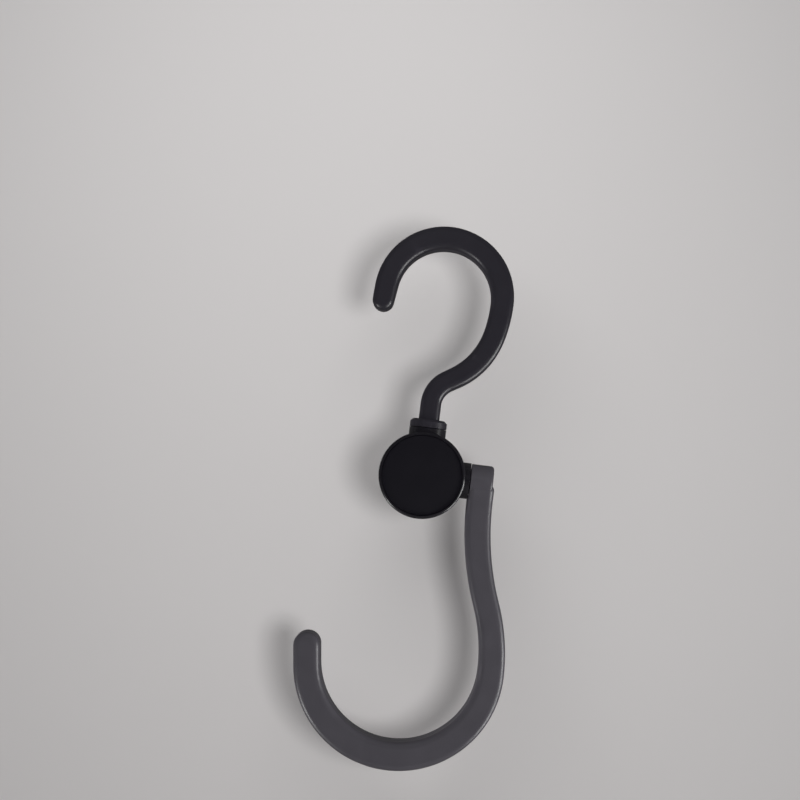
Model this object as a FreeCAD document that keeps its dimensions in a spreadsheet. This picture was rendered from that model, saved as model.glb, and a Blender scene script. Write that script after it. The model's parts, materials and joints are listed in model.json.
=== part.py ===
import FreeCAD, Part
import math
import os
import re

import Sketcher
from FreeCAD import Placement, Rotation, Vector

# Folding travel hook: an upper hook that swivels on a round hub, and a lower hook that folds about it.
# Millimetres. +Z is up as the hook hangs and -Y is the front. The origin is the centre of the round
# seat that the bar lies in, so the hub is below it.

doc = FreeCAD.newDocument("folding_hook")

# Driving sizes
SIZES = (
    # Upper hook
    ("upper_seat_radius", 15.1),
    ("upper_width", 7.2),
    ("upper_swell", 0.1),
    ("upper_depth", 8.4),
    ("upper_edge_radius", 2.1),
    ("upper_tip_angle", 172.0),
    ("upper_tip_outer_angle", 177.0),
    ("upper_tip_run", 5.8),
    ("shoulder_rise", 34.2),
    ("stem_width", 6.6),
    ("stem_run", 5.1),
    ("stem_bend_radius", 9.0),
    ("shoulder_run", 3.0),
    ("throat_bend_radius", 42.6),
    ("throat_bend_angle", 15.0),
    ("collar_height", 2.6),
    ("collar_chamfer", 0.8),
    # Hub
    ("hub_radius", 13.75),
    ("hub_half_depth", 6.75),
    ("hub_edge_radius", 0.9),
    ("side_wall", 1.6),
    ("face_wall", 1.2),
    ("rim_width", 1.0),
    ("neck_radius", 5.9),
    ("neck_rise", 1.35),
    ("boss_radius", 5.75),
    ("boss_rise", 1.45),
    ("bearing_depth", 4.75),
    ("cover_thickness", 1.1),
    ("cover_sink", 0.15),
    ("cover_crown", 0.25),
    ("cover_level_radius", 4.0),
    ("cover_edge_radius", 0.25),
    # Posts and screws that hold the two shells together
    ("post_circle_radius", 9.3),
    ("post_radius", 2.5),
    ("web_width", 1.2),
    ("shell_screw_radius", 0.95),
    ("shell_screw_head_radius", 1.75),
    ("shell_screw_head_height", 1.2),
    ("shell_screw_bite", 3.0),
    ("shell_screw_clearance", 0.12),
    ("pilot_clearance", 0.03),
    # Spigots, washers and the screws on them
    ("spigot_radius", 2.6),
    ("running_gap", 0.06),
    ("face_gap", 0.2),
    ("washer_radius", 3.9),
    ("washer_thickness", 0.8),
    ("spigot_screw_radius", 1.0),
    ("spigot_screw_bite", 6.0),
    ("spigot_screw_head_radius", 2.2),
    ("spigot_screw_head_height", 1.5),
    ("spring_height", 0.7),
    ("spring_thickness", 0.3),
    ("spring_waves", 3),
    ("steps_in_a_wave", 8),
    # Lower hook
    ("lower_seat_radius", 25.2),
    ("lower_width", 8.35),
    ("lower_swell", 0.8),
    ("lower_depth", 9.5),
    ("lower_edge_radius", 2.0),
    ("lower_tip_angle", 187.0),
    ("lower_tip_outer_angle", 187.0),
    ("lower_tip_run", 5.7),
    ("lower_drop", 60.0),
    ("arm_width", 8.2),
    ("arm_run", 5.9),
    ("arm_first_bend_share", 0.60),
    ("arm_shoulder_radius", 2.4),
    ("head_radius", 5.6),
    ("head_width", 7.1),
    ("head_edge_radius", 1.0),
    ("pivot_gap", 0.3),
    ("recess_depth", 0.4),
    ("recess_radius", 6.1),
)

# Sizes that follow from the driving ones
DERIVED = (
    ("neck_top", "=hub_radius + neck_rise"),
    ("boss_end", "=hub_radius + boss_rise"),
    ("collar_bottom", "=neck_top + face_gap"),
    ("hub_drop", "=collar_bottom + collar_height + stem_run + shoulder_rise"),
    ("bearing_face", "=hub_radius - bearing_depth"),
    ("bore_radius", "=spigot_radius + running_gap"),
    ("cover_seat", "=hub_half_depth - cover_sink - cover_thickness"),
    ("cover_seat_radius", "=hub_radius - rim_width"),
    ("cavity_depth", "=cover_seat - face_wall"),
    ("cavity_radius", "=hub_radius - side_wall"),
    ("swivel_end", "=bearing_face - face_gap"),
    ("head_face", "=boss_end + pivot_gap"),
    ("head_end", "=head_face + head_width"),
    ("arm_face", "=head_face - recess_depth"),
    ("spring_face", "=bearing_face - running_gap"),
    ("pivot_end", "=spring_face - spring_height - running_gap"),
)

sheet = doc.addObject("Spreadsheet::Sheet", "sizes")
for row, (alias, content) in enumerate(SIZES + DERIVED, start=1):
    sheet.set(f"A{row}", alias)
    sheet.set(f"B{row}", str(content))
    sheet.setAlias(f"B{row}", alias)
doc.recompute()

NAMES = {alias for alias, _ in SIZES + DERIVED}
POST_COUNT = 4


def value(expression):
    """The number that an expression on the sheet gives."""
    return float(sheet.evalExpression(expression))


def bound(expression):
    """The same expression as other objects have to write it, with every size looked up on the sheet."""
    return re.sub(r"[a-z_]+", lambda word: f"sizes.{word[0]}" if word[0] in NAMES else word[0], expression)


def bind(item, prop, expression):
    item.setExpression(prop, bound(expression))


def constrain(sketch, kind, *places, size=None):
    """Adds a constraint; a size is an expression on the sheet, which the constraint then follows."""
    if size is None:
        sketch.addConstraint(Sketcher.Constraint(kind, *places))
        return
    number = math.radians(value(size)) if kind == "Angle" else value(size)
    index = sketch.addConstraint(Sketcher.Constraint(kind, *places, number))
    written = f"({bound(size)}) * 1deg" if kind == "Angle" else bound(size)
    sketch.setExpression(f"Constraints[{index}]", written)


def new_body(name):
    """A body whose own origin is the middle of the hub."""
    body = doc.addObject("PartDesign::Body", name)
    body.Label = name
    bind(body, ".Placement.Base.z", "-hub_drop")
    return body


def plane_sketch(body, name, role, offset=None):
    """A sketch on one of the body's own planes, moved along the plane's normal by an expression."""
    sketch = body.newObject("Sketcher::SketchObject", name)
    plane = next(item for item in body.Origin.OriginFeatures if item.Role == role)
    sketch.AttachmentSupport = [(plane, "")]
    sketch.MapMode = "FlatFace"
    if offset is not None:
        bind(sketch, ".AttachmentOffset.Base.z", offset)
    doc.recompute()
    return sketch


def draw_circle(sketch, radius, x="0", y="0"):
    centre = Vector(value(x), value(y), 0)
    circle = sketch.addGeometry(Part.Circle(centre, Vector(0, 0, 1), value(radius)))
    constrain(sketch, "DistanceX", -1, 1, circle, 3, size=x)
    constrain(sketch, "DistanceY", -1, 1, circle, 3, size=y)
    constrain(sketch, "Radius", circle, size=radius)


def draw_outline(sketch, corners):
    """A closed outline of straight edges; each corner is a pair of expressions."""
    points = [Vector(value(x), value(y), 0) for x, y in corners]
    count = len(points)
    for index, point in enumerate(points):
        sketch.addGeometry(Part.LineSegment(point, points[(index + 1) % count]))
    for index in range(count):
        constrain(sketch, "Coincident", index, 2, (index + 1) % count, 1)
    for index, (x, y) in enumerate(corners):
        constrain(sketch, "DistanceX", -1, 1, index, 1, size=x)
        constrain(sketch, "DistanceY", -1, 1, index, 1, size=y)


def pad(body, name, sketch, length, reverse=False):
    feature = body.newObject("PartDesign::Pad", name)
    feature.Profile = sketch
    bind(feature, "Length", length)
    feature.Reversed = reverse
    doc.recompute()
    return feature


def pocket(body, name, sketch, length, reverse=False):
    """Cuts a pocket, and stops if it took nothing away."""
    before = body.Shape.Volume
    feature = body.newObject("PartDesign::Pocket", name)
    feature.Profile = sketch
    bind(feature, "Length", length)
    feature.Reversed = reverse
    doc.recompute()
    if body.Shape.Volume > before - 1e-6:
        raise RuntimeError(f"{name} cut nothing")
    return feature


def revolve(body, name, sketch, axis):
    feature = body.newObject("PartDesign::Revolution", name)
    feature.Profile = sketch
    feature.ReferenceAxis = (sketch, [axis])
    feature.Angle = 360
    doc.recompute()
    return feature


def repeat_round(body, name, features, axis_sketch):
    """Repeats features round the axis of a sketch, once for each post."""
    pattern = body.newObject("PartDesign::PolarPattern", name)
    pattern.Originals = features
    pattern.Axis = (axis_sketch, ["N_Axis"])
    pattern.Angle = 360
    pattern.Occurrences = POST_COUNT
    body.Tip = pattern
    doc.recompute()


def circles_at(shape, radius, axis, place):
    """Names of the round edges of one radius that lie in the plane where axis equals place."""
    names = []
    for index, edge in enumerate(shape.Edges, start=1):
        box = edge.BoundBox
        low, high = getattr(box, f"{axis}Min"), getattr(box, f"{axis}Max")
        if edge.Degenerated or edge.Curve.TypeId != "Part::GeomCircle":
            continue
        if abs(edge.Curve.Radius - radius) < 1e-6 and abs(low - place) < 1e-4 and abs(high - place) < 1e-4:
            names.append(f"Edge{index}")
    return names


def dress(body, kind, name, base, edges, prop, size):
    """A fillet or a chamfer on named edges of a body's last feature."""
    feature = body.newObject(f"PartDesign::{kind}", name)
    feature.Base = (base, edges)
    bind(feature, prop, size)
    doc.recompute()


# Outlines of the two hooks
def s_bend(offset, rise, first, straight, last_turn):
    """Second radius and turning angle of an S: an arc of radius first, a straight, then an arc back.

    The S starts upright, ends offset to the side and rise higher, and still leans by last_turn there.
    """
    lean = first * (1 - math.cos(last_turn)) + offset * math.cos(last_turn) - rise * math.sin(last_turn)
    second = (offset ** 2 + rise ** 2 - straight ** 2 - 2 * offset * first) / (2 * lean)
    across = first + second * math.cos(last_turn) - offset
    along = rise + second * math.sin(last_turn)
    turn = math.atan2(along, across) - math.atan2(straight, first + second)
    return second, turn


def arc(centre, radius, start, end):
    return Part.ArcOfCircle(Part.Circle(centre, Vector(0, 0, 1), radius), start, end)


def join(sketch, joints):
    """Ties the ends of neighbouring pieces of an outline together, tangent to each other."""
    for first, first_end, second, second_end in joints:
        constrain(sketch, "Tangent", first, first_end, second, second_end)


def loose_sketch(name, upright=True):
    """A loose sketch that stands upright in the plane of the two hooks, or lies level."""
    sketch = doc.addObject("Sketcher::SketchObject", name)
    if upright:
        sketch.Placement = Placement(Vector(), Rotation(Vector(1, 0, 0), 90))
    return sketch


def mark_angle(sketch, piece, end, size):
    """Holds one end of an arc at an angle about the arc's centre, with a drawn radius as its arm."""
    curve = sketch.Geometry[piece]
    point = curve.StartPoint if end == 1 else curve.EndPoint
    arm = sketch.addGeometry(Part.LineSegment(curve.Center, point), True)
    constrain(sketch, "Coincident", arm, 1, piece, 3)
    constrain(sketch, "Coincident", arm, 2, piece, end)
    constrain(sketch, "Angle", -1, 1, arm, 1, size=size)


def leave_arc(sketch, edge, sense, angle):
    """Where an edge leaves its last arc at an angle, the way out from the centre, and the way on."""
    seat = sketch.Geometry[edge[-1]]
    turn = math.radians(value(angle))
    outward = Vector(math.cos(turn), math.sin(turn), 0)
    return seat.Center + outward * seat.Radius, outward, Vector(-outward.y, outward.x, 0) * sense


def close_outline(sketch, inner, outer, sense, angles, run):
    """The tip of a hook's outline: two straight runs and a round end that touches both.

    The inner and the outer edge leave the seat's arcs at the two angles. The inner straight has the
    given run, and the outer one follows from the round end. sense is 1 where the arcs turn
    counter-clockwise on their way to the tip.
    """
    arc_end, cap_ends = (2, (2, 1)) if sense > 0 else (1, (1, 2))
    start, out, along = leave_arc(sketch, inner, sense, angles[0])
    far_start, far_out, far_along = leave_arc(sketch, outer, sense, angles[1])
    end = start + along * value(run)
    radius = (far_start - end).dot(far_out) / (1 + out.dot(far_out))
    centre = end + out * radius
    far_end = centre + far_out * radius
    straight = sketch.addGeometry(Part.LineSegment(start, end))
    far_straight = sketch.addGeometry(Part.LineSegment(far_start, far_end))
    touch = math.atan2(far_out.y, far_out.x) % (2 * math.pi)
    turned_in = math.radians(value(angles[0]))
    span = (touch, turned_in + math.pi) if sense > 0 else (turned_in - math.pi, touch)
    cap = sketch.addGeometry(arc(centre, radius, *span))
    join(sketch, (
        (inner[-1], arc_end, straight, 1),
        (outer[-1], arc_end, far_straight, 1),
        (straight, 2, cap, cap_ends[0]),
        (far_straight, 2, cap, cap_ends[1]),
    ))
    for edge, angle in zip((inner, outer), angles):
        mark_angle(sketch, edge[-1], arc_end, f"{angle} - 360" if value(angle) > 180 or sense > 0 else angle)
    constrain(sketch, "Distance", straight, size=run)


def close_foot(sketch, first, first_end, second, second_end):
    """A straight line across the foot of an outline."""
    ends = []
    for piece, end in ((first, first_end), (second, second_end)):
        curve = sketch.Geometry[piece]
        ends.append(curve.StartPoint if end == 1 else curve.EndPoint)
    foot = sketch.addGeometry(Part.LineSegment(*ends))
    constrain(sketch, "Coincident", foot, 1, first, first_end)
    constrain(sketch, "Coincident", foot, 2, second, second_end)
    return foot


def draw_upper_edge(sketch, side, bend, throat, seat, rise, reach):
    """One long edge of the upper hook: stem, shoulder, throat and the round seat, as six pieces.

    side is where the stem's edge stands, bend and throat are radii, and the seat's arc has its centre
    rise above the origin. The arc is drawn to the angle reach, and its far end stays free.
    """
    radius, level = value(seat), value(rise)
    first, back = value(bend), value(throat)
    straight = value("shoulder_run")
    lean = math.radians(value("throat_bend_angle"))
    start = Vector(value(side), -value("shoulder_rise"), 0)
    joint = Vector(radius - back * (1 - math.cos(lean)), level - back * math.sin(lean), 0)
    second, turn = s_bend(joint.x - start.x, joint.y - start.y, first, straight, lean)
    shoulder = start + Vector(first * (1 - math.cos(turn)), first * math.sin(turn), 0)
    shoulder_end = shoulder + Vector(straight * math.sin(turn), straight * math.cos(turn), 0)
    second_centre = shoulder_end + Vector(-second * math.cos(turn), second * math.sin(turn), 0)
    foot = start - Vector(0, value("stem_run + collar_height"), 0)
    stem = sketch.addGeometry(Part.LineSegment(foot, start))
    sketch.addGeometry(arc(start + Vector(first, 0, 0), first, math.pi - turn, math.pi))
    sketch.addGeometry(Part.LineSegment(shoulder, shoulder_end))
    sketch.addGeometry(arc(second_centre, second, -turn, -lean))
    sketch.addGeometry(arc(Vector(radius - back, level, 0), back, -lean, 0))
    sketch.addGeometry(arc(Vector(0, level, 0), radius, 0, math.radians(value(reach))))
    first_bend, straight_run, second_bend, throat_bend, seat_arc = range(stem + 1, stem + 6)
    join(sketch, (
        (stem, 2, first_bend, 2),
        (first_bend, 1, straight_run, 1),
        (straight_run, 2, second_bend, 1),
        (second_bend, 2, throat_bend, 1),
        (throat_bend, 2, seat_arc, 1),
    ))
    constrain(sketch, "Vertical", stem)
    constrain(sketch, "DistanceX", -1, 1, stem, 1, size=side)
    constrain(sketch, "DistanceY", -1, 1, stem, 1, size="-(shoulder_rise + stem_run + collar_height)")
    constrain(sketch, "DistanceY", -1, 1, stem, 2, size="-shoulder_rise")
    constrain(sketch, "Radius", first_bend, size=bend)
    constrain(sketch, "Distance", straight_run, size="shoulder_run")
    constrain(sketch, "Radius", throat_bend, size=throat)
    constrain(sketch, "Radius", seat_arc, size=seat)
    constrain(sketch, "PointOnObject", seat_arc, 3, -2)
    constrain(sketch, "DistanceY", -1, 1, seat_arc, 3, size=rise)
    constrain(sketch, "Horizontal", seat_arc, 3, seat_arc, 1)
    mark_angle(sketch, throat_bend, 1, "-throat_bend_angle")
    return [stem, first_bend, straight_run, second_bend, throat_bend, seat_arc]


def draw_upper_outline():
    """The upper hook seen from the front, from its foot inside the collar to its round tip."""
    sketch = loose_sketch("upper_outline")
    inner = draw_upper_edge(
        sketch, "-stem_width / 2", "stem_bend_radius + stem_width / 2",
        "throat_bend_radius - upper_width / 2", "upper_seat_radius", "0", "upper_tip_angle",
    )
    outer = draw_upper_edge(
        sketch, "stem_width / 2", "stem_bend_radius - stem_width / 2",
        "throat_bend_radius + upper_width / 2", "upper_seat_radius + upper_width", "upper_swell",
        "upper_tip_outer_angle",
    )
    close_outline(sketch, inner, outer, 1, ("upper_tip_angle", "upper_tip_outer_angle"), "upper_tip_run")
    close_foot(sketch, inner[0], 1, outer[0], 1)
    return sketch


def draw_lower_edge(sketch, side, top, widen, seat, drop, reach):
    """One long edge of the lower hook: down the arm, through its S and round the seat, as four pieces.

    side is where the edge stands beside the head and top how far below the pivot it starts. widen is
    what is added to its share of the S's two radii, and the seat's arc has its centre drop below the
    pivot. The arc is drawn from the angle reach, and its far end stays free.
    """
    offset = f"({seat} - ({side}))"
    fall = f"({drop} - arm_run)"
    bend = f"arm_first_bend_share * ({offset} ^ 2 + {fall} ^ 2) / (2 * {offset}) + {widen}"
    pivot = -value("hub_drop")
    bend_start = Vector(value(side), pivot - value("arm_run"), 0)
    centre = Vector(0, pivot - value(drop), 0)
    first, radius = value(bend), value(seat)
    second, turn = s_bend(value(offset), value(fall), first, 0, 0)
    arm_top = Vector(bend_start.x, pivot - value(top), 0)
    arm = sketch.addGeometry(Part.LineSegment(arm_top, bend_start))
    sketch.addGeometry(arc(bend_start + Vector(first, 0, 0), first, math.pi, math.pi + turn))
    sketch.addGeometry(arc(centre + Vector(radius - second, 0, 0), second, 0, turn))
    sketch.addGeometry(arc(centre, radius, math.radians(value(reach)), 2 * math.pi))
    first_bend, second_bend, seat_arc = range(arm + 1, arm + 4)
    join(sketch, (
        (arm, 2, first_bend, 1),
        (first_bend, 2, second_bend, 2),
        (second_bend, 1, seat_arc, 2),
    ))
    constrain(sketch, "DistanceX", -1, 1, arm, 1, size=side)
    constrain(sketch, "DistanceY", -1, 1, arm, 1, size=f"-(hub_drop + {top})")
    constrain(sketch, "Vertical", arm)
    constrain(sketch, "DistanceY", -1, 1, arm, 2, size="-(hub_drop + arm_run)")
    constrain(sketch, "Radius", first_bend, size=bend)
    constrain(sketch, "Radius", seat_arc, size=seat)
    constrain(sketch, "PointOnObject", seat_arc, 3, -2)
    constrain(sketch, "DistanceY", -1, 1, seat_arc, 3, size=f"-(hub_drop + {drop})")
    constrain(sketch, "Horizontal", seat_arc, 3, seat_arc, 2)
    return [arm, first_bend, second_bend, seat_arc]


def draw_lower_outline():
    """The lower hook seen from the front, from the pivot's height to its round tip."""
    sketch = loose_sketch("lower_outline")
    inner = draw_lower_edge(
        sketch, "arm_face", "0", "arm_width / 2", "lower_seat_radius", "lower_drop", "lower_tip_angle"
    )
    outer = draw_lower_edge(
        sketch, "arm_face + arm_width", "arm_shoulder_radius", "(0 - arm_width / 2)",
        "(lower_seat_radius + lower_width)", "(lower_drop + lower_swell)", "lower_tip_outer_angle",
    )
    close_outline(sketch, inner, outer, -1, ("lower_tip_angle", "lower_tip_outer_angle"), "lower_tip_run")
    radius = value("arm_shoulder_radius")
    corner = sketch.Geometry[outer[0]].StartPoint - Vector(radius, 0, 0)
    shoulder = sketch.addGeometry(arc(corner, radius, 0, math.pi / 2))
    foot = close_foot(sketch, inner[0], 1, shoulder, 2)
    constrain(sketch, "Horizontal", foot)
    join(sketch, ((shoulder, 1, outer[0], 1),))
    constrain(sketch, "Vertical", shoulder, 3, shoulder, 2)
    return sketch


def draw_lower_side():
    """The lower hook seen from its side: the head's full depth, eased in an S to the bar's own."""
    sketch = doc.addObject("Sketcher::SketchObject", "lower_side")
    sketch.Placement = Placement(Vector(), Rotation(Vector(1, 1, 1), 120))
    pivot, run = -value("hub_drop"), value("arm_run")
    wide, slim = value("head_radius"), value("lower_depth / 2")
    radius = (run ** 2 + (wide - slim) ** 2) / (4 * (wide - slim))
    turn = math.asin(run / (2 * radius))
    foot = pivot - value("lower_drop + lower_seat_radius + lower_width * 2")
    ends = []
    for side in (1, -1):
        out_arc = arc(Vector(side * (wide - radius), pivot, 0), radius, -turn, 0)
        in_arc = arc(Vector(side * (slim + radius), pivot - run, 0), radius, math.pi - turn, math.pi)
        if side < 0:
            out_arc = arc(Vector(radius - wide, pivot, 0), radius, math.pi, math.pi + turn)
            in_arc = arc(Vector(-slim - radius, pivot - run, 0), radius, 0, turn)
        top, bottom = (2, 1) if side > 0 else (1, 2)
        upper = sketch.addGeometry(out_arc)
        lower = sketch.addGeometry(in_arc)
        wall = sketch.addGeometry(
            Part.LineSegment(Vector(side * slim, pivot - run, 0), Vector(side * slim, foot, 0))
        )
        sign = "" if side > 0 else "-"
        constrain(sketch, "DistanceX", -1, 1, upper, top, size=f"{sign}head_radius")
        constrain(sketch, "DistanceY", -1, 1, upper, top, size="-hub_drop")
        constrain(sketch, "Horizontal", upper, 3, upper, top)
        constrain(sketch, "DistanceX", -1, 1, wall, 1, size=f"{sign}lower_depth / 2")
        constrain(sketch, "DistanceY", -1, 1, wall, 1, size="-(hub_drop + arm_run)")
        constrain(sketch, "Vertical", wall)
        constrain(sketch, "DistanceY", -1, 1, wall, 2,
                  size="-(hub_drop + lower_drop + lower_seat_radius + lower_width * 2)")
        constrain(sketch, "Equal", upper, lower)
        join(sketch, ((upper, bottom, lower, bottom), (lower, top, wall, 1)))
        ends.append((upper, top, wall))
    (right, right_top, right_wall), (left, left_top, left_wall) = ends
    lid = sketch.addGeometry(Part.LineSegment(Vector(-wide, pivot, 0), Vector(wide, pivot, 0)))
    constrain(sketch, "Coincident", lid, 1, left, left_top)
    constrain(sketch, "Coincident", lid, 2, right, right_top)
    base = sketch.addGeometry(Part.LineSegment(Vector(-slim, foot, 0), Vector(slim, foot, 0)))
    constrain(sketch, "Coincident", base, 1, left_wall, 2)
    constrain(sketch, "Coincident", base, 2, right_wall, 2)
    return sketch


def extrude(name, sketch, direction, length):
    """A solid from a sketch, the same length to both sides of it."""
    solid = doc.addObject("Part::Extrusion", name)
    solid.Base = sketch
    solid.Dir = direction
    solid.DirMode = "Custom"
    solid.Solid = True
    solid.Symmetric = True
    bind(solid, "LengthFwd", length)
    doc.recompute()
    return solid


def round_long_edges(name, bar, radius):
    """Rounds the edges that bound a bar's front and back, but not where the bar is cut off level."""
    edges = []
    for index, side in enumerate(bar.Shape.Edges, start=1):
        box = side.BoundBox
        one_face = box.YMin > 0 or box.YMax < 0
        across = box.YLength < 1e-6 and box.ZLength < 1e-6
        if one_face and not across:
            edges.append((index, value(radius), value(radius)))
    rounded = doc.addObject("Part::Fillet", name)
    rounded.Base = bar
    rounded.Edges = edges
    doc.recompute()
    return rounded


def turned(name, corners, axis, base, upright=True):
    """A solid turned from an outline, upright in the plane of the hooks or level, about an axis."""
    sketch = loose_sketch(f"{name}_outline", upright)
    draw_outline(sketch, corners)
    solid = doc.addObject("Part::Revolution", name)
    solid.Source = sketch
    solid.Axis = axis
    for letter, expression in zip("xyz", base):
        bind(solid, f"Base.{letter}", expression)
    solid.Angle = 360
    solid.Solid = True
    doc.recompute()
    return solid


def make_upper_hook():
    """Bent bar, collar ring and spigot, moulded in one, with a blind hole for the screw."""
    low = "(collar_bottom - hub_drop)"
    bar = extrude("upper_bar", draw_upper_outline(), Vector(0, 1, 0), "upper_depth")
    rounded = round_long_edges("upper_rounded", bar, "upper_edge_radius")
    collar = turned(
        "upper_collar",
        (
            ("spigot_screw_radius + pilot_clearance", "swivel_end - hub_drop"),
            ("spigot_radius", "swivel_end - hub_drop"),
            ("spigot_radius", low),
            ("neck_radius", low),
            ("neck_radius", f"{low} + collar_height - collar_chamfer"),
            ("neck_radius - collar_chamfer", f"{low} + collar_height"),
            ("0", f"{low} + collar_height"),
            ("0", "swivel_end + spigot_screw_bite + face_gap - hub_drop"),
            ("spigot_screw_radius + pilot_clearance", "swivel_end + spigot_screw_bite + face_gap - hub_drop"),
        ),
        Vector(0, 0, 1),
        ("0", "0", "0"),
    )
    hook = doc.addObject("Part::Fuse", "upper_hook")
    hook.Label = "upper_hook"
    hook.Base = rounded
    hook.Tool = collar
    doc.recompute()
    return hook


def make_lower_hook():
    """Bent bar with a round head that carries the spigot, and a round relief for the hub's boss."""
    outline = extrude("lower_front_form", draw_lower_outline(), Vector(0, 1, 0), "lower_depth * 2")
    side = extrude("lower_side_form", draw_lower_side(), Vector(1, 0, 0), "lower_seat_radius * 4")
    bar = doc.addObject("Part::Common", "lower_bar")
    bar.Base = outline
    bar.Tool = side
    doc.recompute()
    rounded = round_long_edges("lower_rounded", bar, "lower_edge_radius")
    relief = doc.addObject("Part::Cylinder", "lower_relief")
    bind(relief, "Radius", "recess_radius")
    bind(relief, "Height", "arm_width")
    relief.Placement = Placement(Vector(), Rotation(Vector(0, 1, 0), 90))
    bind(relief, ".Placement.Base.x", "head_face - arm_width")
    bind(relief, ".Placement.Base.z", "-hub_drop")
    relieved = doc.addObject("Part::Cut", "lower_relieved")
    relieved.Base = rounded
    relieved.Tool = relief
    pivot = "(0 - hub_drop)"
    head = turned(
        "lower_head",
        (
            ("pivot_end", f"{pivot} + spigot_screw_radius + pilot_clearance"),
            ("pivot_end", f"{pivot} + spigot_radius"),
            ("head_face", f"{pivot} + spigot_radius"),
            ("head_face", f"{pivot} + head_radius"),
            ("head_end", f"{pivot} + head_radius"),
            ("head_end", pivot),
            ("pivot_end + spigot_screw_bite + face_gap", pivot),
            ("pivot_end + spigot_screw_bite + face_gap", f"{pivot} + spigot_screw_radius + pilot_clearance"),
        ),
        Vector(1, 0, 0),
        ("0", "0", pivot),
    )
    rim = circles_at(head.Shape, value("head_radius"), "X", value("head_end"))
    head_rounded = doc.addObject("Part::Fillet", "lower_head_rounded")
    head_rounded.Base = head
    size = value("head_edge_radius")
    head_rounded.Edges = [(int(name[4:]), size, size) for name in rim]
    hook = doc.addObject("Part::Fuse", "lower_hook")
    hook.Label = "lower_hook"
    hook.Base = relieved
    hook.Tool = head_rounded
    doc.recompute()
    return hook


# Hub
def round_on(body, name, role, radius, start):
    """A sketch of one circle about the hub's middle, on a plane that start moves along its normal."""
    sketch = plane_sketch(body, f"{name}_outline", role, start)
    draw_circle(sketch, radius)
    return sketch


def make_shell(name, front):
    """One half of the hub: a round dish with half of the neck, half of the boss, bearings and posts.

    The normal of the upright plane points to the front, so the rear half is drawn the other way.
    """
    body = new_body(name)
    sense = "" if front else "-"
    disc = pad(body, f"{name}_disc", round_on(body, f"{name}_disc", "XZ_Plane", "hub_radius", "0"),
               "hub_half_depth", not front)
    face = value("hub_half_depth") * (-1 if front else 1)
    rim = circles_at(disc.Shape, value("hub_radius"), "Y", face)
    dress(body, "Fillet", f"{name}_rim", disc, rim, "Radius", "hub_edge_radius")
    cavity = round_on(body, f"{name}_cavity", "XZ_Plane", "cavity_radius", "0")
    pocket(body, f"{name}_cavity", cavity, "cavity_depth", front)
    neck = round_on(body, f"{name}_neck", "XY_Plane", "neck_radius", "bearing_face")
    pad(body, f"{name}_neck", neck, "neck_top - bearing_face")
    boss = round_on(body, f"{name}_boss", "YZ_Plane", "boss_radius", "bearing_face")
    pad(body, f"{name}_boss", boss, "boss_end - bearing_face")
    split = round_on(body, f"{name}_split", "XZ_Plane", "hub_radius * 2", "0")
    pocket(body, f"{name}_split", split, "hub_radius", not front)
    seat = round_on(body, f"{name}_seat", "XZ_Plane", "cover_seat_radius", f"{sense}cover_seat")
    pocket(body, f"{name}_seat", seat, "hub_half_depth", front)
    swivel_bore = round_on(body, f"{name}_swivel_bore", "XY_Plane", "bore_radius", "0")
    pocket(body, f"{name}_swivel_bore", swivel_bore, "neck_top + side_wall", True)
    pivot_bore = round_on(body, f"{name}_pivot_bore", "YZ_Plane", "bore_radius", "0")
    pocket(body, f"{name}_pivot_bore", pivot_bore, "boss_end + side_wall", True)
    add_posts(body, name, front)
    return body


def post_sketch(body, name, offset):
    """A sketch turned so that its horizontal axis runs out to the first post."""
    sketch = plane_sketch(body, name, "XZ_Plane")
    sketch.AttachmentOffset = Placement(Vector(), Rotation(Vector(0, 0, 1), 180 / POST_COUNT))
    bind(sketch, ".AttachmentOffset.Base.z", offset)
    doc.recompute()
    return sketch


def add_posts(body, name, front):
    """Screw posts with webs to the wall: blind pilot holes in front, stepped screw holes behind."""
    post = post_sketch(body, f"{name}_post_outline", "0")
    draw_circle(post, "post_radius", "post_circle_radius")
    features = [pad(body, f"{name}_post", post, "cavity_depth", not front)]
    web = post_sketch(body, f"{name}_web_outline", "0")
    inner, outer = "post_circle_radius", "cavity_radius + side_wall / 2"
    low, high = "-web_width / 2", "web_width / 2"
    draw_outline(web, ((inner, low), (outer, low), (outer, high), (inner, high)))
    features.append(pad(body, f"{name}_web", web, "cavity_depth", not front))
    hole = post_sketch(body, f"{name}_hole_outline", "0")
    clearance = "pilot_clearance" if front else "shell_screw_clearance"
    draw_circle(hole, f"shell_screw_radius + {clearance}", "post_circle_radius")
    depth = "shell_screw_bite + face_gap" if front else "hub_half_depth"
    features.append(pocket(body, f"{name}_hole", hole, depth, front))
    if not front:
        step = post_sketch(body, f"{name}_step_outline", "-cover_seat")
        draw_circle(step, "shell_screw_head_radius + shell_screw_clearance", "post_circle_radius")
        depth = "shell_screw_head_height + face_gap"
        features.append(pocket(body, f"{name}_step", step, depth, True))
    repeat_round(body, f"{name}_posts", features, post)


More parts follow.
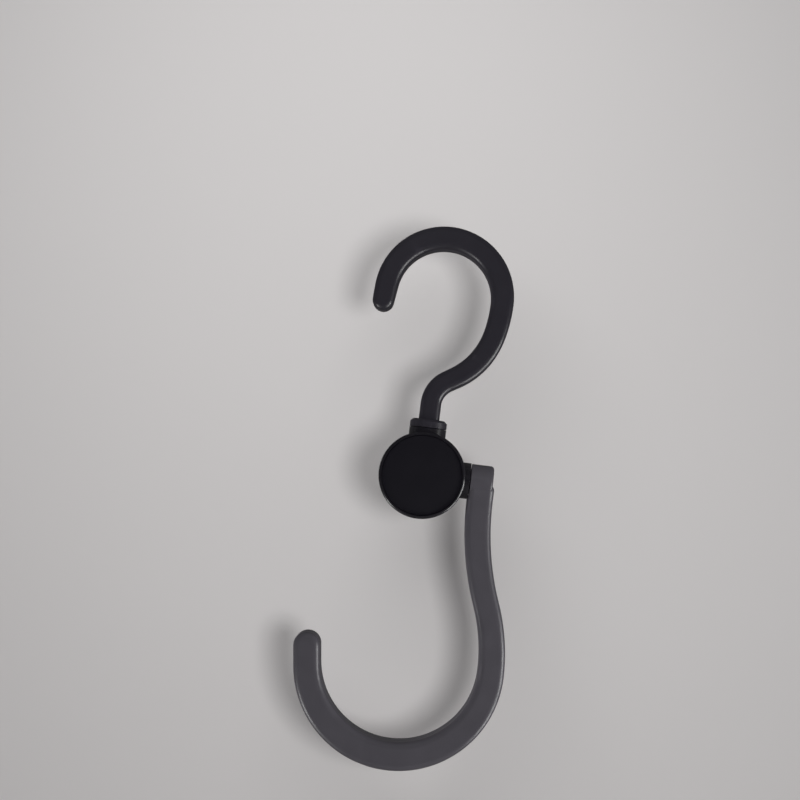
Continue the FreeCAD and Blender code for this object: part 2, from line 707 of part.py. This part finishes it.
def make_cover(name, front):
    """Round cover in the shallow seat of a shell's face, a little crowned and eased at its rim."""
    body = new_body(name)
    sense = "-" if front else ""
    radius = "cover_seat_radius - running_gap"
    seat, top = f"{sense}cover_seat", f"{sense}(cover_seat + cover_thickness)"
    shoulder = f"{sense}(cover_seat + cover_thickness - cover_crown)"
    outer, level, fall = value(radius), value("cover_level_radius"), value("cover_crown")
    crown_radius = ((outer - level) ** 2 + fall ** 2) / (2 * fall)
    sweep = math.asin((outer - level) / crown_radius)
    places = ((level, top), (0, top), (0, seat), (outer, seat), (outer, shoulder))
    corners = [Vector(x, value(y), 0) for x, y in places]
    profile = plane_sketch(body, f"{name}_outline", "XY_Plane")
    for start, end in zip(corners, corners[1:]):
        profile.addGeometry(Part.LineSegment(start, end))
    if front:
        centre, span = corners[0] + Vector(0, crown_radius, 0), (-math.pi / 2, sweep - math.pi / 2)
    else:
        centre, span = corners[0] - Vector(0, crown_radius, 0), (math.pi / 2 - sweep, math.pi / 2)
    crown = profile.addGeometry(arc(centre, crown_radius, *span))
    crown_top, crown_end = (1, 2) if front else (2, 1)
    for line in range(3):
        constrain(profile, "Coincident", line, 2, line + 1, 1)
    constrain(profile, "Coincident", 3, 2, crown, crown_end)
    join(profile, ((crown, crown_top, 0, 1),))
    constrain(profile, "Horizontal", 0)
    constrain(profile, "PointOnObject", 1, 1, -2)
    constrain(profile, "Vertical", 1)
    constrain(profile, "Horizontal", 2)
    constrain(profile, "Vertical", 3)
    constrain(profile, "DistanceX", -1, 1, 0, 1, size="cover_level_radius")
    constrain(profile, "DistanceY", -1, 1, 1, 1, size=top)
    constrain(profile, "DistanceY", -1, 1, 1, 2, size=seat)
    constrain(profile, "DistanceX", -1, 1, 3, 2, size=radius)
    constrain(profile, "DistanceY", -1, 1, 3, 2, size=shoulder)
    disc = revolve(body, f"{name}_disc", profile, "V_Axis")
    rim = circles_at(disc.Shape, outer, "Y", value(shoulder))
    dress(body, "Fillet", f"{name}_edge", disc, rim, "Radius", "cover_edge_radius")
    return body


# Fasteners and washers
def make_shell_screws():
    """The screws that hold the rear shell to the front one, one in each post."""
    under_head = "(cover_seat - shell_screw_head_height - face_gap)"
    screws = []
    for index in range(POST_COUNT):
        screw = turned(
            f"shell_screw_{index + 1}",
            (
                ("post_circle_radius", "-shell_screw_bite"),
                ("post_circle_radius + shell_screw_radius", "-shell_screw_bite + shell_screw_radius"),
                ("post_circle_radius + shell_screw_radius", under_head),
                ("post_circle_radius + shell_screw_head_radius", under_head),
                ("post_circle_radius + shell_screw_head_radius", f"{under_head} + shell_screw_head_height"),
                ("post_circle_radius", f"{under_head} + shell_screw_head_height"),
            ),
            Vector(0, 1, 0),
            ("post_circle_radius", "0", "0"),
            upright=False,
        )
        turn = 180 / POST_COUNT + index * 360 / POST_COUNT
        screw.Placement = Placement(Vector(), Rotation(Vector(0, 1, 0), turn))
        bind(screw, ".Placement.Base.z", "-hub_drop")
        screws.append(screw)
    group = doc.addObject("Part::Compound", "shell_screws")
    group.Label = "shell_screws"
    group.Links = screws
    doc.recompute()
    return group


def make_turned_body(name, axis, corners):
    """A turned piece of hardware on the hub's own upright plane."""
    body = new_body(name)
    sketch = plane_sketch(body, f"{name}_outline", "XZ_Plane")
    draw_outline(sketch, corners)
    revolve(body, f"{name}_turned", sketch, axis)
    return body


def washer_corners(near, along_x):
    """Outline of a flat washer whose far face lies at near on the spigot."""
    far = f"{near} - washer_thickness"
    hole = "spigot_screw_radius + pilot_clearance"
    corners = ((hole, far), ("washer_radius", far), ("washer_radius", near), (hole, near))
    return tuple((y, x) for x, y in corners) if along_x else corners


def spigot_screw_corners(near, along_x):
    """Outline of a screw whose head bears on the washer and whose shank runs up into the spigot."""
    under_head = f"{near} - washer_thickness"
    top = f"{under_head} - spigot_screw_head_height"
    tip = f"{near} + spigot_screw_bite"
    corners = (
        ("0", top),
        ("spigot_screw_head_radius", top),
        ("spigot_screw_head_radius", under_head),
        ("spigot_screw_radius", under_head),
        ("spigot_screw_radius", f"{tip} - spigot_screw_radius"),
        ("0", tip),
    )
    return tuple((y, x) for x, y in corners) if along_x else corners


def make_spring_washer():
    """Waved steel ring round the pivot spigot that presses the arm's joint together."""
    middle = value("spring_face - spring_height / 2")
    swing = value("(spring_height - spring_thickness) / 2")
    inner = value("spigot_radius + running_gap")
    outer = value("washer_radius")
    half = value("spring_thickness") / 2
    waves = int(value("spring_waves"))
    steps = waves * int(value("steps_in_a_wave"))
    sections = []
    for step in range(steps):
        turn = 2 * math.pi * step / steps
        centre = middle + swing * math.cos(waves * turn)
        corners = ((inner, -half), (outer, -half), (outer, half), (inner, half))
        points = [
            Vector(centre + side, radius * math.cos(turn), radius * math.sin(turn))
            for radius, side in corners
        ]
        sections.append(Part.makePolygon(points + points[:1]))
    spring = doc.addObject("Part::Feature", "pivot_spring_washer")
    spring.Label = "pivot_spring_washer"
    spring.Shape = Part.makeLoft(sections, True, False, True)
    bind(spring, ".Placement.Base.z", "-hub_drop")
    doc.recompute()
    return spring


PIECES = (
    make_upper_hook(),
    make_turned_body("swivel_washer", "V_Axis", washer_corners("swivel_end", False)),
    make_turned_body("swivel_screw", "V_Axis", spigot_screw_corners("swivel_end", False)),
    make_shell("front_shell", True),
    make_shell("rear_shell", False),
    make_cover("front_cover", True),
    make_cover("rear_cover", False),
    make_shell_screws(),
    make_lower_hook(),
    make_spring_washer(),
    make_turned_body("pivot_washer", "H_Axis", washer_corners("pivot_end", True)),
    make_turned_body("pivot_screw", "H_Axis", spigot_screw_corners("pivot_end", True)),
)

doc.recompute()
for item in doc.Objects:
    if "Invalid" in item.State or "Error" in item.State:
        raise RuntimeError(f"{item.Label} did not build: {item.State}")
for piece in PIECES:
    if piece.Shape.isNull() or not piece.Shape.isValid() or not piece.Shape.Solids:
        raise RuntimeError(f"{piece.Label} has no valid solid")

os.makedirs("parts", exist_ok=True)
for piece in PIECES:
    piece.Shape.exportStep(f"parts/{piece.Label}.step")
    box = piece.Shape.BoundBox
    print(f"{piece.Label}: {len(piece.Shape.Solids)} solid, {piece.Shape.Volume:.1f} mm3,"
          f" X {box.XMin:.2f} {box.XMax:.2f}, Y {box.YMin:.2f} {box.YMax:.2f},"
          f" Z {box.ZMin:.2f} {box.ZMax:.2f}")
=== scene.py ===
"""Looks of the folding travel hook: finishes, backdrop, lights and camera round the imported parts."""

import json
import math
from typing import NamedTuple

import bpy
from mathutils import Matrix, Vector


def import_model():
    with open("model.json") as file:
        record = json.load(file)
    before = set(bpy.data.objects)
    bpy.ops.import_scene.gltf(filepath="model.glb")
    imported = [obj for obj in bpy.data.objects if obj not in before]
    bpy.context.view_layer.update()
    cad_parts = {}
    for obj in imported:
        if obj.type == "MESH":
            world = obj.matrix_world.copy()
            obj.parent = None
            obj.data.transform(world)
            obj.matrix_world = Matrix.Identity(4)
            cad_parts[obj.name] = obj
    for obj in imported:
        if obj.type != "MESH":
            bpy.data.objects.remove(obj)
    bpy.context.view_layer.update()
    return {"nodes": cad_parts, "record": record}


# Lengths are in metres in the row frame: the hub's centre lies below the bar seat.
HUB_CENTRE = Vector((0.0, 0.0, -0.0572))

# The photograph looks along +Y and is turned a little about that direction. Lens and sensor are in mm.
CAMERA_DISTANCE = 0.384
CAMERA_OFF_HUB = Vector((0.0023, 0.0, 0.00035))
CAMERA_ROLL = math.radians(7.0)
CAMERA_LENS = 54.0
CAMERA_SENSOR = 36.0
CAMERA_SHIFT = (-0.0368, 0.094)
CAMERA_NEAREST = 0.01

# A finish's name is that of its material slot. Colours are linear.
ROOM_COLOUR = (0.98, 0.985, 1.0, 1.0)
PALE_BACKDROP = (0.740, 0.719, 0.714)
BRIGHT_STEEL = (0.56, 0.56, 0.55)


class Moulding(NamedTuple):
    """What sets one moulded plastic apart from another."""

    colour: tuple
    roughness: float
    grain_depth: float
    specular: float
    parting_line: bool


MOULDINGS = {
    "black_nylon": Moulding((0.0184, 0.0170, 0.0220), 0.32, 0.000012, 0.5, True),
    "hub_plastic": Moulding((0.0100, 0.0092, 0.0118), 0.22, 0.000004, 0.8, False),
    "cover_plastic": Moulding((0.0056, 0.0050, 0.0077), 0.55, 0.000016, 0.4, False),
    "grey_nylon": Moulding((0.0570, 0.0536, 0.0625), 0.34, 0.000012, 0.5, True),
}

# Scales count the features in each metre. Tones multiply a colour, and uneven gloss adds to roughness.
GRAIN_SCALE = 2600.0
GRAIN_GLOSS = 0.08
MOTTLE_SCALE = 160.0
MOTTLE_TONES = (0.90, 1.10)
MOTTLE_GLOSS = 0.10

# Rub marks show where their noise is high, and edges pale where the surface is convex enough.
RUB_SCALE = 330.0
RUB_STRETCH = (1.0, 1.0, 0.35)
RUB_RANGE = (0.58, 0.80)
RUB_SHARE = 0.06
RUB_GLOSS = 0.04
EDGE_RANGE = (0.52, 0.60)
EDGE_SHARE = 0.30
WORN_TONE = 1.8

# The parting line is a low ridge along the middle of a bar, as high as three grains.
LINE_HALF_WIDTH = 0.00003
LINE_FADES_AT = 0.00012
LINE_IN_GRAINS = 3.0

# Fine lines of turned steel and its stain.
TURNED_SCALE = 5200.0
TURNED_STRETCH = (0.3, 1.0, 1.0)
TURNED_DEPTH = 0.00002
TURNED_STRENGTH = 0.5
STEEL_ROUGHNESS = 0.30
STAIN_SCALE = 420.0
STAIN_TONES = (0.82, 1.05)
STAIN_GLOSS = 0.16

# How strong the room is as light on the hook, as seen by the camera, and as a mirror image.
ROOM_LEVEL = 0.22
ROOM_SEEN = 0.60
ROOM_MIRRORED = 0.14
MIRROR_FROM_Y = -0.45
MIRROR_FULL_Y = 0.15

# The wall is nearly even. Shares of its colour are in the light that it throws back and in its image.
CLOUD_SCALE = 3.0
CLOUD_TONES = (0.97, 1.03)
BACKDROP_ROUGHNESS = 0.75
BACKDROP_SPECULAR = 0.2
BACKDROP_THROWN = 0.60
BACKDROP_MIRRORED_ABOVE = 0.13
BACKDROP_MIRRORED_BELOW = 0.20
MIRROR_CHANGES_Z = (-0.115, -0.075)

WALL_BEHIND = 0.040
WALL_TOP = 1.0
FLOOR_LEVEL = -0.35
FLOOR_FRONT = -1.6
BACKDROP_HALF_WIDTH = 1.6
BACKDROP_BEND = 0.12
BEND_STEPS = 12

# The lamps face a spot a little below the hub, between the two hooks.
LIT_MIDDLE = HUB_CENTRE + Vector((0.0, 0.0, -0.015))


class Lamp(NamedTuple):
    """Round soft lamp: its direction as seen from the hook, its distance, its width and its watts."""

    name: str
    direction: tuple
    distance: float
    width: float
    watts: float


# These make the highlights along the rounded edges and don't light the backdrop.
EDGE_LAMPS = (
    Lamp("window_lower_right", (0.70, -0.17, -0.55), 0.36, 0.15, 0.42),
    Lamp("window_right", (1.0, -0.26, -0.20), 0.36, 0.17, 0.56),
    Lamp("window_lower_left", (-0.62, -0.16, -0.69), 0.36, 0.15, 0.48),
)

# These light the flat faces and throw the shadows, and have no mirror image.
FILL_LAMPS = (
    Lamp("back_lamp", (-0.90, 0.90, -0.30), 0.50, 0.30, 3.4),
    Lamp("front_lamp", (0.24, -1.0, 0.0), 0.50, 0.12, 0.94),
    Lamp("top_lamp", (-0.22, -0.70, 0.70), 0.29, 0.30, 0.36),
)

# The colour sockets of a Mix node go by number, because its other sockets have the same names.
MIX_FIRST = 6
MIX_SECOND = 7
MIX_RESULT = 2


class Field:
    """An output of a shader node. Arithmetic on it adds Math nodes."""

    def __init__(self, shader, socket):
        self.shader = shader
        self.socket = socket

    def math(self, operation, *values):
        return self.shader.calculate(operation, self, *values)

    def __add__(self, other):
        return self.math("ADD", other)

    def __radd__(self, other):
        return self.math("ADD", other)

    def __sub__(self, other):
        return self.math("SUBTRACT", other)

    def __rsub__(self, other):
        return self.shader.calculate("SUBTRACT", other, self)

    def __mul__(self, other):
        return self.math("MULTIPLY", other)

    def __abs__(self):
        return self.math("ABSOLUTE")


def with_alpha(colour):
    """A plain colour gets the fourth number that a socket asks for."""
    return (*colour, 1.0) if isinstance(colour, tuple) else colour


def scaled(colour, factor):
    return tuple(channel * factor for channel in colour)


class Shader:
    """The nodes of a material or of the room."""

    def __init__(self, tree):
        self.tree = tree
        self.tree.nodes.clear()

    def node(self, kind, settings=None, inputs=None, output=0):
        made = self.tree.nodes.new(kind)
        for name, value in (settings or {}).items():
            setattr(made, name, value)
        for name, value in (inputs or {}).items():
            if isinstance(value, Field):
                self.tree.links.new(value.socket, made.inputs[name])
            else:
                made.inputs[name].default_value = value
        return Field(self, made.outputs[output]) if made.outputs else None

    def calculate(self, operation, *values):
        return self.node("ShaderNodeMath", {"operation": operation}, dict(enumerate(values)))

    def ramp(self, value, low, high, to_low=0.0, to_high=1.0):
        return self.node(
            "ShaderNodeMapRange",
            {"interpolation_type": "SMOOTHSTEP"},
            {"Value": value, "From Min": low, "From Max": high, "To Min": to_low, "To Max": to_high},
        )

    def mix_colours(self, factor, first, second):
        return self.node(
            "ShaderNodeMix",
            {"data_type": "RGBA"},
            {"Factor": factor, MIX_FIRST: with_alpha(first), MIX_SECOND: with_alpha(second)},
            output=MIX_RESULT,
        )

    def uneven(self, noise, colour, tones):
        darker, paler = (scaled(colour, tone) for tone in tones)
        return self.mix_colours(noise, darker, paler)

    def place(self, stretch=(1.0, 1.0, 1.0)):
        where = self.node("ShaderNodeTexCoord", output="Object")
        return self.node("ShaderNodeMapping", None, {"Vector": where, "Scale": stretch})

    def noise(self, where, scale, detail=2.0, roughness=0.5):
        inputs = {"Vector": where, "Scale": scale, "Detail": detail, "Roughness": roughness}
        return self.node("ShaderNodeTexNoise", None, inputs)

    def ray(self, kind):
        return self.node("ShaderNodeLightPath", output=kind)

    def surface(self, inputs):
        plain = self.node("ShaderNodeBsdfPrincipled", None, inputs)
        self.node("ShaderNodeOutputMaterial", None, {"Surface": plain})


def new_material(name):
    material = bpy.data.materials.new(name)
    material.use_nodes = True
    return material, Shader(material.node_tree)


def moulded_plastic(name, moulding):
    """Moulded plastic: fine grain of the tool, uneven gloss, faint rub marks and paler edges."""
    material, shader = new_material(name)
    colour = moulding.colour
    here = shader.place()
    grain = shader.noise(here, GRAIN_SCALE, 3.0, 0.6)
    mottle = shader.noise(here, MOTTLE_SCALE, 3.0)
    rubs = shader.noise(shader.place(RUB_STRETCH), RUB_SCALE, 3.0)
    rub_marks = shader.ramp(rubs, *RUB_RANGE)
    edges = shader.ramp(shader.node("ShaderNodeNewGeometry", output="Pointiness"), *EDGE_RANGE)
    height = grain
    if moulding.parting_line:
        across = shader.node("ShaderNodeSeparateXYZ", None, {"Vector": here}, output="Y")
        line = 1.0 - shader.ramp(abs(across), LINE_HALF_WIDTH, LINE_FADES_AT)
        height = grain + line * LINE_IN_GRAINS
    moulded = shader.uneven(mottle, colour, MOTTLE_TONES)
    worn = edges * EDGE_SHARE + rub_marks * RUB_SHARE
    tone = shader.mix_colours(worn, moulded, scaled(colour, WORN_TONE))
    gloss = moulding.roughness + (mottle - 0.5) * MOTTLE_GLOSS + (grain - 0.5) * GRAIN_GLOSS
    gloss = gloss + rub_marks * RUB_GLOSS
    bump_inputs = {"Strength": 1.0, "Distance": moulding.grain_depth, "Height": height}
    shader.surface(
        {
            "Base Color": tone,
            "Roughness": gloss,
            "Normal": shader.node("ShaderNodeBump", None, bump_inputs),
            "Specular IOR Level": moulding.specular,
        }
    )
    return material


def turned_steel(name, colour):
    """Plain steel with the fine turned or rolled lines of a small fastener."""
    material, shader = new_material(name)
    lines = shader.noise(shader.place(TURNED_STRETCH), TURNED_SCALE, 2.0)
    stain = shader.noise(shader.place(), STAIN_SCALE, 3.0)
    bump_inputs = {"Strength": TURNED_STRENGTH, "Distance": TURNED_DEPTH, "Height": lines}
    shader.surface(
        {
            "Base Color": shader.uneven(stain, colour, STAIN_TONES),
            "Metallic": 1.0,
            "Roughness": STEEL_ROUGHNESS + (stain - 0.5) * STAIN_GLOSS,
            "Normal": shader.node("ShaderNodeBump", None, bump_inputs),
        }
    )
    return material


def pale_sheet(name, colour):
    """Backdrop that is seen from its front alone, so no view from behind is blocked.

    It lets the light of the lamp behind it through to the back of the hook. The camera sees its full
    colour. It throws less light on the hook, and its mirror image in the plastic is dark, a little
    less so beside the lower hook.
    """
    material, shader = new_material(name)
    here = shader.place()
    cloud = shader.noise(here, CLOUD_SCALE, 2.0)
    seen = shader.uneven(cloud, colour, CLOUD_TONES)
    height = shader.node("ShaderNodeSeparateXYZ", None, {"Vector": here}, output="Z")
    # Painted shade in mirror images: glossy rays see the wall darker than the camera does, a little
    # less dark low down beside the lower hook.
    mirrored = shader.mix_colours(
        shader.ramp(height, *MIRROR_CHANGES_Z),
        scaled(colour, BACKDROP_MIRRORED_BELOW),
        scaled(colour, BACKDROP_MIRRORED_ABOVE),
    )
    thrown = scaled(colour, BACKDROP_THROWN)
    unseen = shader.mix_colours(shader.ray("Is Glossy Ray"), thrown, mirrored)
    tone = shader.mix_colours(shader.ray("Is Camera Ray"), unseen, seen)
    sheet_inputs = {
        "Base Color": tone,
        "Roughness": BACKDROP_ROUGHNESS,
        "Specular IOR Level": BACKDROP_SPECULAR,
    }
    sheet = shader.node("ShaderNodeBsdfPrincipled", None, sheet_inputs)
    clear = shader.node("ShaderNodeBsdfTransparent")
    behind = shader.node("ShaderNodeNewGeometry", output="Backfacing")
    open_to = behind.math("MAXIMUM", shader.ray("Is Shadow Ray"))
    both = shader.node("ShaderNodeMixShader", None, {0: open_to, 1: sheet, 2: clear})
    shader.node("ShaderNodeOutputMaterial", None, {"Surface": both})
    return material


def dress(frame, finishes):
    """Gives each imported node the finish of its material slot."""
    slots = {piece["node"]: piece["material_slot"] for piece in frame["record"]["subparts"]}
    for name, node in frame["nodes"].items():
        for slot in node.material_slots:
            slot.material = finishes[slots[name]]


def sweep_profile(name, profile, half_width, material):
    """Sheet that runs along X and follows a profile of (Y, Z) points, its front towards -Y and +Z."""
    corners = [(x, y, z) for y, z in profile for x in (-half_width, half_width)]
    faces = [(2 * i, 2 * i + 1, 2 * i + 3, 2 * i + 2) for i in range(len(profile) - 1)]
    mesh = bpy.data.meshes.new(name)
    mesh.from_pydata(corners, [], faces)
    for face in mesh.polygons:
        face.use_smooth = True
    mesh.materials.append(material)
    sheet = bpy.data.objects.new(name, mesh)
    bpy.context.scene.collection.objects.link(sheet)
    return sheet


def make_backdrop():
    """Pale wall close behind the hook that curves forward into a floor below it."""
    centre_y = WALL_BEHIND - BACKDROP_BEND
    centre_z = FLOOR_LEVEL + BACKDROP_BEND
    profile = [(FLOOR_FRONT, FLOOR_LEVEL)]
    for step in range(BEND_STEPS + 1):
        angle = math.radians(270.0 + 90.0 * step / BEND_STEPS)
        y = centre_y + BACKDROP_BEND * math.cos(angle)
        z = centre_z + BACKDROP_BEND * math.sin(angle)
        profile.append((y, z))
    profile.append((WALL_BEHIND, WALL_TOP))
    material = pale_sheet("pale_backdrop", PALE_BACKDROP)
    backdrop = sweep_profile("backdrop", profile, BACKDROP_HALF_WIDTH, material)


def add_lamp(lamp):
    towards = Vector(lamp.direction).normalized()
    data = bpy.data.lights.new(lamp.name, "AREA")
    data.shape = "DISK"
    data.size = lamp.width
    data.energy = lamp.watts
    placed = bpy.data.objects.new(lamp.name, data)
    placed.location = LIT_MIDDLE + towards * lamp.distance
    placed.rotation_euler = towards.to_track_quat("Z", "Y").to_euler()
    bpy.context.scene.collection.objects.link(placed)
    return placed


def make_room():
    """Even pale room. Its mirror image on the plastic is dark where the camera stands."""
    world = bpy.data.worlds.new("soft_room")
    world.use_nodes = True
    bpy.context.scene.world = world
    room = Shader(world.node_tree)
    direction = room.node("ShaderNodeTexCoord", output="Generated")
    depth = room.node("ShaderNodeSeparateXYZ", None, {"Vector": direction}, output="Y")
    mirrored = room.ramp(depth, MIRROR_FROM_Y, MIRROR_FULL_Y, 0.0, ROOM_MIRRORED)
    glossy = room.ray("Is Glossy Ray")
    even = ROOM_LEVEL + room.ray("Is Camera Ray") * (ROOM_SEEN - ROOM_LEVEL)
    strength = even * (1.0 - glossy) + mirrored * glossy
    light = room.node("ShaderNodeBackground", None, {"Color": ROOM_COLOUR, "Strength": strength})
    room.node("ShaderNodeOutputWorld", None, {"Surface": light})


def light_the_hook(pieces):
    """Edge lamps stand beside the backdrop, so they light the pieces alone and leave no patch on it."""
    lit_pieces = bpy.data.collections.new("lit_pieces")
    for piece in pieces:
        lit_pieces.objects.link(piece)
    for lamp in EDGE_LAMPS:
        add_lamp(lamp).light_linking.receiver_collection = lit_pieces
    for lamp in FILL_LAMPS:
        add_lamp(lamp).visible_glossy = False


def set_camera():
    data = bpy.data.cameras.new("camera")
    data.lens = CAMERA_LENS
    data.sensor_width = CAMERA_SENSOR
    data.shift_x, data.shift_y = CAMERA_SHIFT
    data.clip_start = CAMERA_NEAREST
    camera = bpy.data.objects.new("camera", data)
    cosine = math.cos(CAMERA_ROLL)
    sine = math.sin(CAMERA_ROLL)
    right = Vector((cosine, 0.0, sine))
    up = Vector((-sine, 0.0, cosine))
    back = Vector((0.0, -1.0, 0.0))
    turned = Matrix((right, up, back)).transposed()
    place = HUB_CENTRE + CAMERA_OFF_HUB + back * CAMERA_DISTANCE
    camera.matrix_world = Matrix.Translation(place) @ turned.to_4x4()
    bpy.context.scene.collection.objects.link(camera)
    bpy.context.scene.camera = camera


def main():
    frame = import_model()
    set_camera()
    finishes = {name: moulded_plastic(name, moulding) for name, moulding in MOULDINGS.items()}
    finishes["steel"] = turned_steel("steel", BRIGHT_STEEL)
    dress(frame, finishes)
    make_backdrop()
    make_room()
    light_the_hook(frame["nodes"].values())
    bpy.context.scene.view_settings.view_transform = "Standard"


main()
